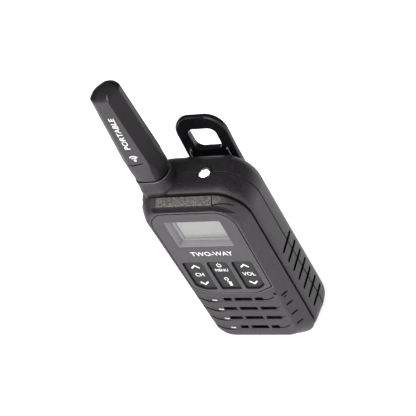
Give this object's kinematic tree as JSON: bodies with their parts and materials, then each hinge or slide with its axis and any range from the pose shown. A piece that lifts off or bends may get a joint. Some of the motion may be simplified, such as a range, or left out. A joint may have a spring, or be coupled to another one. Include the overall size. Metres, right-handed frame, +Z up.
{
  "type": "handheld two-way radio",
  "caption": "Handheld two-way radio with stub antenna, display, rocker keys, torch and sprung belt clip.",
  "frame": {"origin": "centre of the flat base the radio stands on", "axes": "+Z up along the antenna, -Y out of the display side, +X to the radio's right as seen from the front"},
  "size_m": [0.0615, 0.0455, 0.1716],
  "materials": {
    "housing": "fine textured moulding",
    "panel": "fine matte film",
    "keys": "matte with white legends",
    "seal": "matte",
    "window": "clear",
    "display": "grey reflective display",
    "antenna": "satin",
    "clip": "glossy",
    "board": "solder mask",
    "steel": "plain",
    "brass": "plain",
    "lens": "clear",
    "battery": "shrink sleeve",
    "cloth": "black mesh cloth",
    "magnet": "plain"
  },
  "bodies": {
    "radio": {"accessory_jack": "brass", "antenna_coil": "brass", "antenna_core": "brass", "antenna_cover": "antenna", "antenna_ring": "seal", "battery_contact_left": "brass", "battery_contact_right": "brass", "battery_pack": "battery", "bracket_screw_left": "steel", "bracket_screw_right": "steel", "clip_bracket": "clip", "clip_pin": "steel", "clip_spring": "steel", "display_gasket": "seal", "display_module": "display", "display_window": "window", "face_panel": "panel", "front_housing": "housing", "housing_screw_1": "steel", "housing_screw_2": "steel", "housing_screw_3": "steel", "housing_screw_4": "steel", "housing_seal": "seal", "keypad_mat": "seal", "main_board": "board", "microphone": "steel", "ptt_switch": "steel", "rear_housing": "housing", "speaker_cloth": "cloth", "speaker_cone": "cloth", "speaker_frame": "steel", "speaker_magnet": "magnet", "torch_bezel": "steel", "torch_lamp": "lens", "torch_lens": "lens"},
    "channel_key": {"channel_key": "keys"},
    "menu_key": {"menu_key": "keys"},
    "volume_key": {"volume_key": "keys"},
    "ptt_button": {"ptt_button": "keys"},
    "port_cover": {"port_cover": "seal"},
    "battery_door": {"battery_door": "housing"},
    "door_latch": {"door_latch": "keys"},
    "belt_clip": {"belt_clip": "clip"}
  },
  "joints": [
    {"name": "channel_rock", "type": "hinge", "parent": "radio", "child": "channel_key", "pos_m": [-0.01445, -0.0131, 0.0528], "axis": [1, 0, 0], "range_deg": [-3, 3], "stiffness_Nm_per_rad": 0.2},
    {"name": "menu_rock", "type": "hinge", "parent": "radio", "child": "menu_key", "pos_m": [-0.00035, -0.0131, 0.0528], "axis": [1, 0, 0], "range_deg": [-3, 3], "stiffness_Nm_per_rad": 0.2},
    {"name": "volume_rock", "type": "hinge", "parent": "radio", "child": "volume_key", "pos_m": [0.01375, -0.0131, 0.0528], "axis": [1, 0, 0], "range_deg": [-3, 3], "stiffness_Nm_per_rad": 0.2},
    {"name": "ptt_press", "type": "slide", "parent": "radio", "child": "ptt_button", "axis": [1, 0, 0], "range_m": [0, 0.001], "stiffness_N_per_m": 1500, "springref_m": -0.0003},
    {"name": "port_cover_open", "type": "hinge", "parent": "radio", "child": "port_cover", "pos_m": [-0.0299, 0.002, 0.0443], "axis": [0, -1, 0], "range_deg": [0, 100], "stiffness_Nm_per_rad": 0.002, "springref_deg": -2.86},
    {"name": "battery_door_slide", "type": "slide", "parent": "radio", "child": "battery_door", "axis": [0, 0, -1], "range_m": [0, 0.01]},
    {"name": "door_latch_slide", "type": "slide", "parent": "radio", "child": "door_latch", "axis": [0, 0, 1], "range_m": [0, 0.0014], "stiffness_N_per_m": 400, "springref_m": -0.0005},
    {"name": "belt_clip_open", "type": "hinge", "parent": "radio", "child": "belt_clip", "pos_m": [-0.0011, 0.0226, 0.092], "axis": [1, 0, 0], "range_deg": [0, 14], "stiffness_Nm_per_rad": 0.8, "springref_deg": -5.73}
  ]
}
